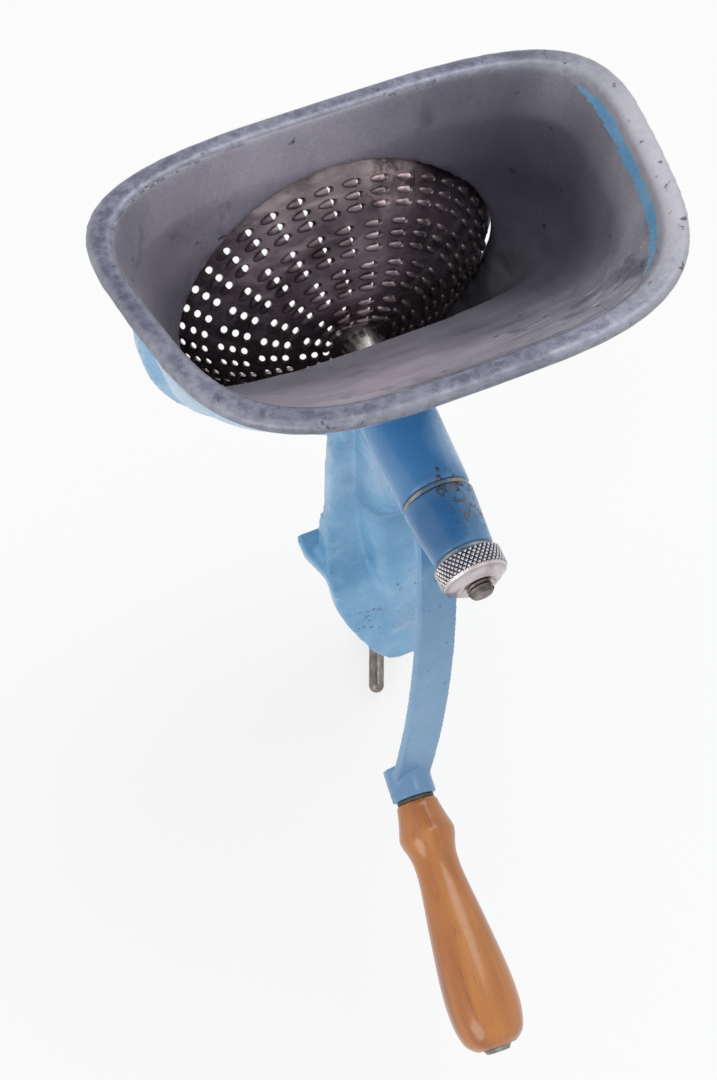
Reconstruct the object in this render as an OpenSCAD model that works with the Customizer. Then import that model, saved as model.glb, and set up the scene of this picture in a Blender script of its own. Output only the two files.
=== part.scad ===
// Hand-crank grain mill that clamps to a table edge.
// A domed, punched drum turns in the back wall of a wide hopper.
// Frame: +Z is up, the table slides in towards -Y, and the crank is at -Y.
// The origin is on the clamp's seat, which rests on the table top.

/* [Axle] */
// Height of the axle above the table top
axle_h = 115; // [100:1:130]
// Radius of the steel shaft in its bushes
shaft_r = 7; // [7:0.1:7.4]
// Radius of the threaded ends of the shaft
stud_r = 4.8; // [4:0.1:4.9]
// Outer radius of the bushes
bush_r = 9.5; // [9:0.1:10]
// Length of each bush
bush_l = 20; // [12:1:24]
// Outer radius of the bearing tube at the crank end
tube_r = 13.5; // [12:0.5:16]
// Outer radius of the bearing tube at the hopper end
tube_root_r = 15; // [14:0.5:18]
// Where the bearing tube ends, in front of the leg
tube_end_y = -36; // [-50:1:-30]

/* [Hopper] */
// Width of the rim across the mill, at mid depth
rim_w = 178; // [150:1:200]
// Depth of the rim from front to back
rim_d = 132; // [120:1:150]
// Height of the rim's centre above the axle
rim_rise = 100; // [90:1:120]
// Where the rim's centre lies behind the leg
rim_y = 9; // [0:1:12]
// Where the rim's centre lies to the right of the leg
rim_x = 3; // [0:1:5]
// Width of the flat lip round the mouth
lip_w = 8; // [5:0.5:10]
// Thickness of the lip
lip_t = 5; // [3:0.5:8]
// Wall of the hopper casting
hopper_wall = 4; // [3:0.5:5]
// How much the back of the rim is wider than the front, as a share
rim_taper = 0.26; // [0:0.01:0.35]
// Slope of the rim, front edge up, in degrees
rim_tilt = 10; // [0:1:14]

/* [Drum] */
// Outer radius of the domed drum
dome_r = 87; // [84:1:90]
// How far the dome's apex lies behind the leg's centre
dome_apex_y = 33; // [30:1:36]
// Depth of the dome from its apex to its open mouth
dome_depth = 42; // [38:1:46]
// Thickness of the drum's sheet
sheet_t = 1; // [0.8:0.1:1.4]
// Radius of the drum's hub
hub_r = 9; // [8.5:0.5:12]
// Radius of a punched hole
punch_r = 1.2; // [0.8:0.1:1.3]
// Distance between the holes of a group
punch_pitch = 4.4; // [3.8:0.1:4.6]
// Distance along the dome between rings of groups
ring_pitch = 15.3; // [14.6:0.1:16]
// Angle between the axle and the outermost ring of holes, in degrees
first_ring = 45; // [43:0.5:47]
// Lean of the holes along the way round the axle, in degrees
punch_lean = 54; // [45:1:56]
// Clear gap between the drum and its seat in the hopper
drum_gap = 1.5; // [1.2:0.1:3]

/* [Crank] */
// Throw of the crank
throw = 109; // [90:1:130]
// Width of the crank arm
arm_w = 16; // [12:0.5:18]
// Thickness of the crank arm
arm_t = 4; // [3:0.5:8]
// How far the arm bows away from a straight line
arm_bow = 7.5; // [5:0.5:14]
// How far in front of the leg's centre the grip's collar stands
grip_y = -110; // [-120:1:-100]
// Length of the crank's hub
crank_hub_l = 23; // [18:1:28]
// Radius of the hub at the nut
crank_hub_r = 11.2; // [10:0.1:13]
// Angle of the crank from hanging straight down, in degrees
crank_rest = 19; // [0:1:45]
// Lean of the grip away from the axle, in degrees
grip_splay = 8; // [0:1:12]
// Sideways lean of the grip, in degrees
grip_skew = -2; // [-8:1:8]
// Length of the eye that holds the grip's pin
eye_l = 13.5; // [10:0.5:16]
// Radius of the eye
eye_r = 9; // [8:0.5:10]

/* [Grip] */
// Length of the wooden grip
grip_l = 96; // [80:1:110]
// Largest radius of the grip
grip_r = 14; // [12:0.5:16]
// Radius of the grip's pin
pin_r = 3; // [2.5:0.25:3.5]

/* [Nut] */
// Radius of the knurled nut
nut_r = 12.5; // [11:0.5:14]
// Length of the nut's knurled band
knurl_l = 8; // [5:0.5:9]
// Length of the nut's smooth nose
nose_l = 3; // [2.5:0.5:6]
// How far the stud stands out of the nut
stud_out = 3.5; // [3:0.5:10]

/* [Leg and clamp] */
// Half the leg's width at its neck
neck_hw = 23.5; // [22:0.5:28]
// Thickness of the leg
leg_t = 10; // [8:0.5:12]
// Half the width of the clamp's seat
jaw_hw = 36; // [32:0.5:42]
// How far the seat reaches behind the leg's centre
jaw_back = 16.5; // [14:0.5:24]
// Thickness of the seat's plate
jaw_t = 7; // [5:0.5:9]
// How far the clamp screw stands behind the leg's centre
screw_y = 7.5; // [6:0.5:8]
// Thickness of the slanted shield that carries the lower arm
spine_t = 10; // [8:0.5:12]
// How far forward the shield leans at its foot
shield_lean = 17; // [10:0.5:20]
// Opening between the seat and the lower arm
clamp_gap = 50; // [46:1:60]
// Height of the lower arm
arm_h = 15; // [10:0.5:18]
// Radius of the clamp screw
screw_r = 5; // [4:0.5:6]
// Length of the clamp screw
screw_l = 88; // [80:1:110]
// Travel of the clamp screw
screw_travel = 30; // [20:1:31]
// Radius of the swivel pad
pad_r = 8; // [7.5:0.25:9]
// Radius of the tommy bar
bar_r = 3.75; // [2.5:0.25:4]
// Length of the tommy bar
bar_l = 60; // [50:1:80]
// How far the bar is slid towards the crank
bar_shift = 4; // [0:0.5:8]
// Turn of the bar away from the axle's direction, in degrees
bar_turn = 23; // [0:1:90]

/* [Hidden] */
blue = [0.42, 0.62, 0.78];
aluminium = [0.55, 0.55, 0.58];
steel = [0.62, 0.6, 0.6];
bronze = [0.7, 0.52, 0.3];
wood = [0.75, 0.45, 0.18];

fit = 0.05;       // radial clearance of a running fit
seat_gap = 0.3;   // axial clearance of a turning face
skin = 0.2;       // overlap that fuses two volumes of one piece

plate_y = 18;                       // joint face between frame and hopper
chamber_y = plate_y + hopper_wall;  // inner face of the chamber's front plate
dome_c = dome_apex_y + dome_r;      // centre of the dome's sphere, along Y
mouth_y = dome_apex_y + dome_depth; // open mouth of the drum
seat_r = dome_r + drum_gap;         // sphere of the drum's seat
seat_y0 = 60;                       // front of the ring that the drum runs in
seat_y1 = 68;                       // back of that ring
ring_r = 78;                        // outer radius of that ring
seat_end_y = mouth_y + 1;           // how far back the drum's room is cut
tube_l = plate_y - tube_end_y;
washer_t = 1.5;
square_w = 1.4 * shaft_r;           // square end of the shaft, cut from its round

// Radius, at depth y, of a sphere about the dome's centre, and its front at distance r
function sphere_front(radius, r) = dome_c - sqrt(radius * radius - r * r);
function sphere_at(radius, y) = sqrt(radius * radius - (dome_c - y) * (dome_c - y));

// Turns a shape drawn along +Z so that it runs along the axle, from y towards -Y
module along_axle(y) {
    translate([0, y, axle_h]) rotate([90, 0, 0]) children();
}

// Hopper cavity, level by level from the mouth down:
// height above the axle, front, back, left, right, tilt, squareness, taper
mouth_f = rim_y - rim_d / 2 + lip_w;
mouth_b = rim_y + rim_d / 2 - lip_w;
mouth_x = rim_w / 2 - lip_w;
LEVELS = [
    [rim_rise, mouth_f, mouth_b, rim_x - mouth_x, rim_x + mouth_x, rim_tilt, 3.5, rim_taper],
    [78, -33, 62, -76, 78, 8, 3.4, 0.2],
    [55, -13, 60, -73, 77, 5, 3.4, 0.14],
    [32, 6, 60, -71, 76, 2, 3.4, 0.08],
    [15, 22.5, 60, -69, 75, 0, 3.3, 0],
    [-8, 33, 60, -64, 68, 0, 3, 0],
    [-30, 44, 60, -50, 52, 0, 2.6, 0]
];
RING_N = 48;
// Rounding of the lip's two edges: how far in from the side, and how far down from the top
LIP_ROUND = [[1.6, 0], [0.8, 0.3], [0.25, 0.9], [0, 1.8]];

function signed_pow(v, e) = sign(v) * pow(abs(v), e);

// One closed ring of points of a level, grown outwards by grow and lifted by lift
function level_ring(level, grow, lift) = [
    for (i = [0 : RING_N - 1])
        let (
            angle = i * 360 / RING_N,
            half_w = (level[4] - level[3]) / 2 + grow,
            half_d = (level[2] - level[1]) / 2 + grow,
            across = half_w * signed_pow(cos(angle), 2 / level[6]),
            deep = half_d * signed_pow(sin(angle), 2 / level[6]),
            x = (level[3] + level[4]) / 2 + across * (1 + level[7] * deep / (2 * half_d)),
            y = (level[1] + level[2]) / 2 + deep
        )
        [x, y, axle_h + level[0] + lift - deep * tan(level[5])]
];

// A closed solid through a list of rings, all with RING_N points, top ring first
module through_rings(rings) {
    count = len(rings);
    points = [for (ring = rings) each ring];
    sides = [
        for (j = [0 : count - 2], i = [0 : RING_N - 1])
            let (a = j * RING_N + i, b = j * RING_N + (i + 1) % RING_N)
            each [[a, b, b + RING_N], [a, b + RING_N, a + RING_N]]
    ];
    top = [for (i = [1 : RING_N - 2]) [0, i + 1, i]];
    last = (count - 1) * RING_N;
    bottom = [for (i = [1 : RING_N - 2]) [last, last + i, last + i + 1]];
    polyhedron(points = points, faces = concat(top, sides, bottom), convexity = 6);
}

module hopper_outside() {
    through_rings(concat(
        [for (step = LIP_ROUND) level_ring(LEVELS[0], lip_w - step[0], -step[1])],
        [level_ring(LEVELS[0], lip_w - 0.5, -lip_t)],
        [for (level = LEVELS) level_ring(level, hopper_wall, -lip_t - hopper_wall)]
    ));
}

module hopper_inside() {
    through_rings(concat(
        [level_ring(LEVELS[0], 4, 3)],
        [for (step = LIP_ROUND) level_ring(LEVELS[0], step[0], -step[1])],
        [for (i = [1 : len(LEVELS) - 1]) level_ring(LEVELS[i], 0, 0)]
    ));
}

// Chamber that follows the dome below the axle, and the ring the drum runs in
chamber_corner_r = 34;
chamber_mid_r = 62;
chamber_mid_y = 42;
module chamber_outside() {
    along_axle(seat_y1) rotate_extrude($fn = 96) polygon([
        [0, seat_y1 - plate_y], [0, 0], [ring_r, 0], [ring_r, seat_y1 - seat_y0 + 4],
        [ring_r - 5, seat_y1 - seat_y0 + 7], [chamber_mid_r + 4, seat_y1 - chamber_mid_y],
        [chamber_corner_r + 4, seat_y1 - plate_y]
    ]);
}

module chamber_inside() {
    along_axle(seat_end_y) rotate_extrude($fn = 96) polygon([
        [0, seat_end_y - chamber_y],
        [0, 0],
        [sphere_at(seat_r, seat_end_y), 0],
        [sphere_at(seat_r, seat_y1), seat_end_y - seat_y1],
        [sphere_at(seat_r, seat_y0), seat_end_y - seat_y0],
        [chamber_mid_r, seat_end_y - chamber_mid_y],
        [chamber_corner_r, seat_end_y - chamber_y]
    ]);
}

module hopper() {
    color(aluminium) difference() {
        union() {
            hopper_outside();
            chamber_outside();
        }
        hopper_inside();
        chamber_inside();
        along_axle(chamber_y + 1) cylinder(r = bush_r, h = hopper_wall + 2, $fn = 64);
        tube_solid();
    }
}

// Leg and shield seen from the front: heights above the seat and half widths
flange_r = chamber_corner_r;
leg_y1 = plate_y - 1.5;
leg_y0 = leg_y1 - leg_t;
flange_t = plate_y - leg_y1 + 1;
low_z = -clamp_gap - arm_h;
spine_back = screw_y - pad_r - 1.5;
spine_front = spine_back - spine_t;
boss_r = screw_r + 6;
LEG_OUTLINE = [
    [axle_h, tube_root_r - 1], [axle_h - 10, neck_hw - 5.5], [axle_h - 22, neck_hw - 3],
    [axle_h - 30, neck_hw - 1.5], [axle_h * 0.6, neck_hw - 0.5], [axle_h * 0.45, neck_hw],
    [axle_h * 0.33, neck_hw + 0.8], [axle_h * 0.27, neck_hw + 2], [axle_h * 0.17, neck_hw + 4.5],
    [jaw_t + 3, jaw_hw - 6.5], [jaw_t, jaw_hw - 5], [0, jaw_hw - 5],
    [low_z * 0.26, jaw_hw * 0.83], [low_z * 0.44, jaw_hw * 0.74], [low_z * 0.65, jaw_hw * 0.6],
    [low_z * 0.79, jaw_hw * 0.48], [low_z * 0.9, jaw_hw * 0.36], [low_z * 0.97, jaw_hw * 0.24], [low_z, 5]
];
// The same seen from the side: heights above the seat, and the front and back faces
LEG_FRONT = [
    [leg_y0, axle_h], [leg_y0, axle_h * 0.45], [leg_y0 - 1, axle_h * 0.35], [leg_y0 - 4, axle_h * 0.24],
    [leg_y0 - 9, jaw_t + 5], [spine_front, 0], [spine_front - shield_lean * 0.35, low_z * 0.33],
    [spine_front - shield_lean * 0.7, low_z * 0.66], [spine_front - shield_lean, low_z]
];
LEG_BACK = [
    [spine_back - shield_lean, low_z], [spine_back - shield_lean * 0.6, low_z * 0.66],
    [spine_back - shield_lean * 0.15, low_z * 0.33], [spine_back, 0], [jaw_back, 0], [jaw_back, jaw_t],
    [leg_y1 - 9, jaw_t], [leg_y1 - 4, axle_h * 0.2], [leg_y1, axle_h * 0.4], [leg_y1, axle_h]
];

module leg() {
    intersection() {
        translate([0, 60, 0]) rotate([90, 0, 0]) linear_extrude(120) polygon(concat(
            [for (p = LEG_OUTLINE) [p[1], p[0]]],
            [for (i = [len(LEG_OUTLINE) - 1 : -1 : 0]) [-LEG_OUTLINE[i][1], LEG_OUTLINE[i][0]]]
        ));
        translate([-jaw_hw - 10, 0, 0]) rotate([90, 0, 90])
            linear_extrude(2 * jaw_hw + 20) polygon(concat(LEG_FRONT, LEG_BACK));
    }
    linear_extrude(jaw_t) polygon([
        [-jaw_hw, jaw_back], [-jaw_hw, jaw_back - 9], [5 - jaw_hw, spine_back - 4],
        [jaw_hw - 5, spine_back - 4], [jaw_hw, jaw_back - 9], [jaw_hw, jaw_back]
    ]);
}

// Web that joins the bearing tube to the leg and fades out down the shield
web_root = 9; // how far the web's root reaches into the leg
module web_section(y, z, front_hw, root_hw, rise) {
    translate([-root_hw, y - 1, z]) cube([2 * root_hw, web_root, 3]);
    translate([-front_hw, y - rise, z]) cube([2 * front_hw, 3, 3]);
}
web_z = axle_h * 0.38;
web_low_z = low_z * 0.62;
module web() {
    hull() {
        translate([-tube_r + 4, tube_end_y + 3, axle_h - 9]) cube([2 * tube_r - 8, 4, 3]);
        translate([-tube_root_r + 1, leg_y0 - 6, axle_h - 10]) cube([2 * tube_root_r - 2, 8, 8]);
        web_section(leg_y0, web_z, 6, 13, 12);
    }
    hull() {
        web_section(leg_y0, web_z, 6, 13, 12);
        web_section(spine_front, 2, 6, 11, 8);
    }
    hull() {
        web_section(spine_front, 2, 6, 11, 8);
        web_section(spine_front - shield_lean * 0.62, web_low_z, 4, 8, 2);
    }
}

module lower_arm() {
    hull() {
        translate([-boss_r, spine_back - shield_lean - 4, low_z]) cube([2 * boss_r, 4, arm_h]);
        translate([0, screw_y, low_z]) cylinder(r = boss_r, h = arm_h, $fn = 32);
    }
    translate([0, screw_y, low_z - 4]) cylinder(r = boss_r - 1, h = arm_h + 4, $fn = 48);
}

module tube_solid() {
    along_axle(plate_y) cylinder(r1 = tube_root_r, r2 = tube_r, h = tube_l, $fn = 64);
}

module frame() {
    color(blue) difference() {
        union() {
            tube_solid();
            intersection() {
                along_axle(plate_y) cylinder(r = flange_r, h = flange_t, $fn = 96);
                translate([-50, -50, axle_h - 50]) cube([100, 100, 50]);
            }
            leg();
            web();
            lower_arm();
        }
        along_axle(plate_y + 1) cylinder(r = bush_r, h = tube_l + 2, $fn = 64);
        translate([0, screw_y, low_z - 5]) cylinder(r = screw_r + fit, h = arm_h + 6, $fn = 48);
    }
}

module bush(y) {
    color(bronze) along_axle(y) difference() {
        cylinder(r = bush_r - 0.01, h = bush_l, $fn = 64);
        translate([0, 0, -1]) cylinder(r = shaft_r + fit, h = bush_l + 2, $fn = 64);
    }
}

// Places along the shaft, from the drum to the free end of the stud
hub_back_y = sphere_front(dome_r, hub_r) - 0.02;
hub_front_y = chamber_y + washer_t;
drum_nut_r = 9.2;
nut_back_y = sphere_front(dome_r - sheet_t, drum_nut_r) + 0.02;
crank_y = tube_end_y - washer_t - 2 * seat_gap;
crank_end_y = crank_y - crank_hub_l;
nut_y = crank_end_y - washer_t;
stud_end_y = nut_y - knurl_l - nose_l - stud_out;
drum_nut_l = 7;

module shaft() {
    color(steel) {
        along_axle(nut_back_y + drum_nut_l + 3)
            cylinder(r = stud_r, h = nut_back_y + drum_nut_l + 3 - hub_front_y + skin, $fn = 48);
        along_axle(hub_front_y) cylinder(r = shaft_r, h = hub_front_y - crank_y, $fn = 64);
        translate([-square_w / 2, crank_end_y + 1, axle_h - square_w / 2])
            cube([square_w, crank_y - crank_end_y - 1 + skin, square_w]);
        along_axle(crank_end_y + 1 + skin)
            cylinder(r = stud_r, h = crank_end_y + 1 + skin - stud_end_y, $fn = 48);
    }
}

// Dome sheet with rings of punched holes, in groups of three along its slope.
// Each hole leans over, as a punched tooth does, so that its mouth faces the way the drum turns.
RING_GROUPS = [37, 29, 21, 14];
// How far each ring is turned, as a share of the step between its groups
RING_TURNS = [0.5, 0.15, 0.6, 0.1];
GROUP_HOLES = 3;
function dome_step(length) = length / dome_r * 180 / PI;
module at_punches() {
    for (ring = [0 : len(RING_GROUPS) - 1], group = [0 : RING_GROUPS[ring] - 1], hole = [0 : GROUP_HOLES - 1])
        rotate([0, 0, (group + RING_TURNS[ring]) * 360 / RING_GROUPS[ring]])
            rotate([0, first_ring - dome_step(ring * ring_pitch + hole * punch_pitch), 0]) children();
}

module drum() {
    color(steel) translate([0, dome_c, axle_h]) rotate([90, 0, 0]) difference() {
        rotate_extrude($fn = 120) intersection() {
            difference() {
                circle(r = dome_r, $fn = 180);
                circle(r = dome_r - sheet_t, $fn = 180);
            }
            translate([stud_r + 0.02, dome_c - mouth_y]) square([dome_r, dome_depth + 1]);
        }
        at_punches() translate([0, 0, dome_r - sheet_t / 2]) rotate([punch_lean, 0, 0])
            cylinder(r = punch_r, h = 6 * punch_r, center = true, $fn = 16);
    }
}

module drum_hub() {
    color(steel) difference() {
        along_axle(hub_back_y) cylinder(r = hub_r, h = hub_back_y - hub_front_y, $fn = 64);
        translate([0, dome_c, axle_h]) sphere(r = dome_r + 0.02, $fn = 180);
        along_axle(hub_back_y + 1) cylinder(r = stud_r + 0.02, h = hub_back_y - hub_front_y + 2, $fn = 48);
    }
}

module drum_washer() {
    color(steel) along_axle(chamber_y + washer_t - seat_gap / 2) difference() {
        cylinder(r = hub_r, h = washer_t - seat_gap, $fn = 64);
        translate([0, 0, -1]) cylinder(r = shaft_r + fit, h = washer_t + 2, $fn = 48);
    }
}

module drum_nut() {
    color(steel) along_axle(nut_back_y + drum_nut_l) difference() {
        cylinder(r = drum_nut_r, h = drum_nut_l, $fn = 6);
        translate([0, 0, -1]) cylinder(r = stud_r + 0.02, h = drum_nut_l + 2, $fn = 48);
    }
}

module thrust_washer() {
    color(steel) along_axle(tube_end_y - seat_gap) difference() {
        cylinder(r = tube_r - 1, h = washer_t, $fn = 64);
        translate([0, 0, -1]) cylinder(r = shaft_r + fit, h = washer_t + 2, $fn = 48);
    }
}

// Crank drawn hanging straight down, then turned to its rest angle
module crank_turned() {
    translate([0, 0, axle_h]) rotate([0, crank_rest, 0]) children();
}
module at_grip() {
    crank_turned() translate([0, grip_y, -throw]) rotate([0, 0, grip_skew])
        rotate([grip_splay, 0, 0]) rotate([90, 0, 0]) children();
}

// Flat bar on an arc that bows forwards between the hub and the eye
foot_y = crank_y - 7;
foot_z = -tube_r + 3;
head_y = grip_y + eye_l / 2;
module crank_arm() {
    run_y = head_y - foot_y;
    run_z = -throw - foot_z;
    chord = sqrt(run_y * run_y + run_z * run_z);
    bend_r = chord * chord / (8 * arm_bow) + arm_bow / 2;
    half_turn = asin(chord / 2 / bend_r);
    bow_angle = atan2(-run_y, run_z);
    centre_off = bend_r - arm_bow;
    translate([0, foot_y + run_y / 2, foot_z + run_z / 2])
        rotate([90, 0, 90]) rotate([0, 0, bow_angle]) translate([-centre_off, 0, 0])
            rotate([0, 0, -half_turn]) rotate_extrude(angle = 2 * half_turn, $fn = 180)
                translate([bend_r - arm_t / 2, -arm_w / 2]) square([arm_t, arm_w]);
}

module crank() {
    color(blue) difference() {
        union() {
            along_axle(crank_y) cylinder(r1 = tube_r, r2 = crank_hub_r, h = crank_hub_l, $fn = 64);
            crank_turned() crank_arm();
            at_grip() translate([0, 0, -eye_l]) cylinder(r = eye_r, h = eye_l, $fn = 48);
        }
        translate([-square_w / 2, crank_end_y - 1, axle_h - square_w / 2])
            cube([square_w, crank_hub_l + 2, square_w]);
        at_grip() translate([0, 0, -eye_l - 12]) cylinder(r = pin_r, h = eye_l + 14, $fn = 48);
    }
}

module hub_washer() {
    color(steel) along_axle(crank_end_y) difference() {
        cylinder(r = crank_hub_r - 1, h = washer_t, $fn = 64);
        translate([0, 0, -1]) cylinder(r = stud_r + fit, h = washer_t + 2, $fn = 48);
    }
}

countersink = 1.8; // depth and width of the bevel round the stud in the nut's face
module knurled_nut() {
    color(steel) along_axle(nut_y) difference() {
        rotate_extrude($fn = 96) polygon([
            [0, 0], [nut_r - 0.6, 0], [nut_r, 0.6], [nut_r, knurl_l],
            [nut_r - 1, knurl_l + 0.6], [stud_r + 3, knurl_l + nose_l], [0, knurl_l + nose_l]
        ]);
        translate([0, 0, -1]) cylinder(r = stud_r + fit, h = knurl_l + nose_l + 2, $fn = 48);
        translate([0, 0, knurl_l + nose_l - countersink])
            cylinder(r1 = stud_r + fit, r2 = stud_r + fit + 2 * countersink, h = 2 * countersink, $fn = 48);
    }
}

grip_clear = 0.3;
head_t = 1.6;
grip_washer_t = 1.2;
grip_start = grip_washer_t + 2 * grip_clear;
module grip_pin() {
    color(steel) at_grip() {
        translate([0, 0, -eye_l])
            cylinder(r = pin_r - 0.01, h = eye_l + grip_start + grip_l + grip_clear, $fn = 48);
        translate([0, 0, grip_start + grip_l + grip_clear])
            cylinder(r1 = 5.5, r2 = 4.5, h = head_t, $fn = 48);
    }
}

module grip_washer() {
    color(steel) at_grip() translate([0, 0, grip_clear]) difference() {
        cylinder(r = eye_r - 1.5, h = grip_washer_t, $fn = 48);
        translate([0, 0, -1]) cylinder(r = pin_r + fit, h = grip_washer_t + 2, $fn = 48);
    }
}

// Turned outline of the grip: share of its length, share of its largest radius
GRIP_TURNING = [
    [0, 0.57], [0.02, 0.6], [0.12, 0.78], [0.14, 0.8], [0.165, 0.76], [0.24, 0.63],
    [0.34, 0.66], [0.5, 0.8], [0.66, 0.93], [0.8, 1], [0.89, 0.97], [0.95, 0.86], [0.985, 0.7], [1, 0.58]
];
module grip() {
    outline = concat(
        [[0, 0]],
        [for (p = GRIP_TURNING) [p[1] * grip_r, p[0] * grip_l]],
        [[0, grip_l]]
    );
    color(wood) at_grip() translate([0, 0, grip_start]) difference() {
        rotate_extrude($fn = 72) polygon(outline);
        translate([0, 0, -1]) cylinder(r = pin_r + fit, h = grip_l + 2, $fn = 48);
    }
}

// Clamp parts, stored with the clamp wide open
pad_t = 5;
closed_gap = 4; // least opening, with the screw right up
pad_top_z = -closed_gap - screw_travel;
screw_top_z = pad_top_z - 2;
screw_low_z = screw_top_z - screw_l;
head_l = 12;
bar_z = screw_low_z + head_l / 2;
module at_bar() {
    translate([0, screw_y, bar_z]) rotate([0, 0, -bar_turn]) rotate([90, 0, 0]) children();
}
neck_r = screw_r - 1.6;

module clamp_screw() {
    color(steel) difference() {
        union() {
            translate([0, screw_y, screw_top_z - pad_t]) cylinder(r = neck_r, h = pad_t, $fn = 48);
            translate([0, screw_y, screw_low_z]) cylinder(r = screw_r, h = screw_l - pad_t + skin, $fn = 48);
            translate([0, screw_y, screw_low_z]) cylinder(r = screw_r + 2.5, h = head_l, $fn = 48);
        }
        at_bar() translate([0, 0, -20]) cylinder(r = bar_r + fit, h = 40, $fn = 48);
    }
}

module clamp_pad() {
    color(steel) translate([0, screw_y, screw_top_z - pad_t + seat_gap]) difference() {
        union() {
            cylinder(r1 = pad_r - 2.5, r2 = pad_r, h = 2.5, $fn = 48);
            translate([0, 0, 2.5]) cylinder(r = pad_r, h = pad_t - 0.5, $fn = 48);
        }
        translate([0, 0, -1]) cylinder(r = neck_r + fit, h = pad_t + 6, $fn = 48);
        translate([0, 0, 3]) cylinder(r = neck_r + 2, h = 6, $fn = 48);
    }
}

module pad_clip() {
    color(steel) translate([0, screw_y, screw_top_z - pad_t + seat_gap + 3.2]) difference() {
        cylinder(r = neck_r + 1.6, h = 1, $fn = 48);
        translate([0, 0, -1]) cylinder(r = neck_r, h = 3, $fn = 48);
    }
}

module tommy_bar() {
    color(steel) at_bar() translate([0, 0, bar_r + bar_shift - bar_l / 2]) {
        cylinder(r = bar_r, h = bar_l - 2 * bar_r, $fn = 48);
        sphere(r = bar_r, $fn = 48);
        translate([0, 0, bar_l - 2 * bar_r]) sphere(r = bar_r, $fn = 48);
    }
}

hopper();
frame();
bush(tube_end_y + bush_l + 0.5);  // bush_front
bush(chamber_y);  // bush_rear
shaft();
drum();
drum_hub();
drum_washer();
drum_nut();
thrust_washer();
crank();
hub_washer();
knurled_nut();
grip_pin();
grip_washer();
grip();
clamp_screw();
clamp_pad();
pad_clip();
tommy_bar();
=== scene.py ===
# %% [markdown]
# Hand-crank grain mill
# A cast mill with a wide hopper stands in front of a white wall of light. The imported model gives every
# piece its size and place. This file dresses those pieces: it rounds the castings, cuts threads and a
# knurl, punches the burrs of the drum, and gives each surface its paint, metal or varnish.

# %% Load the frame
import bpy
import bmesh
import math
from mathutils import Matrix, Vector


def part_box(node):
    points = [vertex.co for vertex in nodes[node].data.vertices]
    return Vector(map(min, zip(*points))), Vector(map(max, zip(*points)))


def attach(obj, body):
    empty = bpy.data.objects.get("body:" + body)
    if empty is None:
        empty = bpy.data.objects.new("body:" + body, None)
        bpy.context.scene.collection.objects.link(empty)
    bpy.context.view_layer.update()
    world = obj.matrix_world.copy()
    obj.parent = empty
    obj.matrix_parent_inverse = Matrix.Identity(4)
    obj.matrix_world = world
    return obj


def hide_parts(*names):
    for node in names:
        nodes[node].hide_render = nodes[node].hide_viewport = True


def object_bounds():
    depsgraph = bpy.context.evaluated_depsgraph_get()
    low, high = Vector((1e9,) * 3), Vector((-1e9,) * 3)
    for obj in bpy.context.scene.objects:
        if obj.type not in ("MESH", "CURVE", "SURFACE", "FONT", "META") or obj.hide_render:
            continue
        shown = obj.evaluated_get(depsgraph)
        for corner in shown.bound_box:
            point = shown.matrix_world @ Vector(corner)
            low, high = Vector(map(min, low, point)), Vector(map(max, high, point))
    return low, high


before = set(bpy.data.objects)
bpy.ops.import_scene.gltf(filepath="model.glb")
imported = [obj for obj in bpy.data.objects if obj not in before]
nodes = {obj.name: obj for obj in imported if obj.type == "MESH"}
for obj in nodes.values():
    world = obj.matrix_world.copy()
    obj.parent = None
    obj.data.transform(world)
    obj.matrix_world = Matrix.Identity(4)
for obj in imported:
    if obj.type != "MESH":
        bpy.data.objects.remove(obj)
cad_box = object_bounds()

# %% [markdown]
# Sizes of the real mill, in millimetres
# Blender works in metres, so a length is written in millimetres here and multiplied by MM where it is
# used. The axle runs along Y, 115 mm above the table top, and the crank is at the -Y end.

# %% Sizes
MM = 0.001
AXLE_H = 115
THROW = 109
GRIP_Y = -110
CRANK_REST = 19
GRIP_SKEW = -2
GRIP_SPLAY = 8
GRIP_START = 1.8
GRIP_LENGTH = 96
GRIP_RADIUS = 14


def turn(degrees, axis):
    return Matrix.Rotation(math.radians(degrees), 4, axis)


def shift(x, y, z):
    return Matrix.Translation(Vector((x, y, z)) * MM)


def along_axle(y):
    """Place for a piece whose own +Z runs along the axle, from y towards the crank."""
    return shift(0, y, AXLE_H) @ turn(90, "X")


grip_place = (shift(0, 0, AXLE_H) @ turn(CRANK_REST, "Y") @ shift(0, GRIP_Y, -THROW)
              @ turn(GRIP_SKEW, "Z") @ turn(GRIP_SPLAY, "X") @ turn(90, "X"))
print("grip starts at", [round(c, 4) for c in grip_place.translation])

# %% [markdown]
# Camera
# The photograph looks steeply down from the crank's side, a little from the left. A longer lens than a
# phone's keeps the hopper's far and near edges close to parallel, so 50 mm on a 36 mm high frame is used.

# %% Camera
camera_data = bpy.data.cameras.new("camera")
camera_data.sensor_fit = "VERTICAL"
camera_data.sensor_height = 36
camera_data.lens = 50
camera = bpy.data.objects.new("camera", camera_data)
bpy.context.collection.objects.link(camera)
camera.matrix_world = (shift(-118.8, -242.7, 593.5) @ turn(-23.35, "Z")
                       @ turn(90 - 65.37, "X") @ turn(0.9, "Z"))
bpy.context.scene.camera = camera
print("camera at", [round(c, 3) for c in camera.matrix_world.translation])

# %% [markdown]
# Node helpers
# Every finish below is a small network of shader nodes. These helpers add a node, set its sockets by
# name and join two sockets, so that each finish reads as a recipe and not as wiring.

# %% Node helpers


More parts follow.
